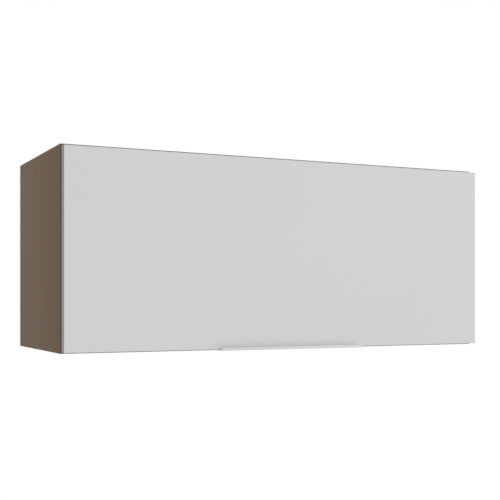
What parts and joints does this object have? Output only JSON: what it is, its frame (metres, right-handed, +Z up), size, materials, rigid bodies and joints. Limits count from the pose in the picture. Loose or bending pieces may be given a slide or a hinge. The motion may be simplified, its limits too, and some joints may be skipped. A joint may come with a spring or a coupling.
{
  "type": "lift-up wall cabinet",
  "caption": "Wide shallow wall cabinet in wood decor with a pale top-hung door that lifts on struts and a slim metal pull under its lower edge",
  "frame": {"origin": "middle of the rear face of the back panel, on the wall plane", "axes": "+X to the right seen from the front, +Y to the wall, +Z up; the door faces -Y"},
  "size_m": [0.8, 0.328, 0.332],
  "materials": {
    "wood_decor": "brown-grey oak decor foil on particle board, fine vertical grain, satin",
    "wood_band": "edge band in the same decor, satin",
    "hardboard": "thin fibreboard, matt",
    "door_white": "plain light grey melamine on particle board, smooth satin",
    "door_band": "edge band in the door's colour, satin",
    "anodised": "satin anodised, fine lines along its length",
    "nickel": "nickel-plated pressed steel",
    "zinc": "zinc-plated steel and die-cast zinc",
    "dark_enamel": "dark grey enamel",
    "hard_chrome": "hard-chromed rod, polished",
    "black_nylon": "black moulded nylon",
    "soft_pad": "translucent soft pad"
  },
  "bodies": {
    "carcass": {"side_panel_left": "wood_decor", "side_panel_right": "wood_decor", "top_panel": "wood_decor", "bottom_panel": "wood_decor", "hanging_rail": "wood_decor", "front_band_left": "wood_band", "front_band_right": "wood_band", "front_band_top": "wood_band", "front_band_bottom": "wood_band", "back_panel": "hardboard", "cam_lock_top_left_front": "zinc", "cam_lock_top_left_rear": "zinc", "cam_lock_top_right_front": "zinc", "cam_lock_top_right_rear": "zinc", "cam_lock_bottom_left_front": "zinc", "cam_lock_bottom_left_rear": "zinc", "cam_lock_bottom_right_front": "zinc", "cam_lock_bottom_right_rear": "zinc", "hanger_plate_left": "zinc", "hanger_plate_right": "zinc", "hinge_arm_left": "nickel", "hinge_arm_right": "nickel", "hinge_plate_left": "nickel", "hinge_plate_right": "nickel", "hinge_plate_screw_left_1": "zinc", "hinge_plate_screw_left_2": "zinc", "hinge_plate_screw_right_1": "zinc", "hinge_plate_screw_right_2": "zinc", "hinge_arm_screw_left": "zinc", "hinge_arm_screw_right": "zinc", "strut_wall_bracket_left": "zinc", "strut_wall_bracket_right": "zinc"},
    "door": {"door_panel": "door_white", "door_band_left": "door_band", "door_band_right": "door_band", "door_band_top": "door_band", "door_band_bottom": "door_band", "hinge_cup_left": "nickel", "hinge_cup_right": "nickel", "hinge_pin_left": "nickel", "hinge_pin_right": "nickel", "hinge_cup_screw_left_1": "zinc", "hinge_cup_screw_left_2": "zinc", "hinge_cup_screw_right_1": "zinc", "hinge_cup_screw_right_2": "zinc", "pull_profile": "anodised", "pull_screw_left": "zinc", "pull_screw_right": "zinc", "door_bumper_left": "soft_pad", "door_bumper_right": "soft_pad", "strut_door_bracket_left": "zinc", "strut_door_bracket_right": "zinc"},
    "tube_left": {"strut_tube_left": "dark_enamel", "strut_tube_socket_left": "black_nylon"},
    "rod_left": {"strut_rod_left": "hard_chrome", "strut_rod_socket_left": "black_nylon"},
    "tube_right": {"strut_tube_right": "dark_enamel", "strut_tube_socket_right": "black_nylon"},
    "rod_right": {"strut_rod_right": "hard_chrome", "strut_rod_socket_right": "black_nylon"}
  },
  "joints": [
    {"name": "door_lift", "type": "hinge", "parent": "carcass", "child": "door", "pos_m": [0, -0.304, 0.1556], "axis": [-1, 0, 0], "range_deg": [0, 90]},
    {"name": "strut_tube_swing_left", "type": "hinge", "parent": "carcass", "child": "tube_left", "pos_m": [-0.371, -0.15516, 0.137], "axis": [-1, 0, 0], "range_deg": [0, 45]},
    {"name": "strut_rod_swing_left", "type": "hinge", "parent": "door", "child": "rod_left", "pos_m": [-0.371, -0.284, 0.00694], "axis": [-1, 0, 0], "range_deg": [-45, 0]},
    {"name": "strut_tube_swing_right", "type": "hinge", "parent": "carcass", "child": "tube_right", "pos_m": [0.371, -0.15516, 0.137], "axis": [-1, 0, 0], "range_deg": [0, 45]},
    {"name": "strut_rod_swing_right", "type": "hinge", "parent": "door", "child": "rod_right", "pos_m": [0.371, -0.284, 0.00694], "axis": [-1, 0, 0], "range_deg": [-45, 0]}
  ],
  "couplings": [
    {"joint": "strut_tube_swing_left", "follows": "door_lift", "ratio": 0.5},
    {"joint": "strut_rod_swing_left", "follows": "door_lift", "ratio": -0.5},
    {"joint": "strut_tube_swing_right", "follows": "door_lift", "ratio": 0.5},
    {"joint": "strut_rod_swing_right", "follows": "door_lift", "ratio": -0.5}
  ]
}
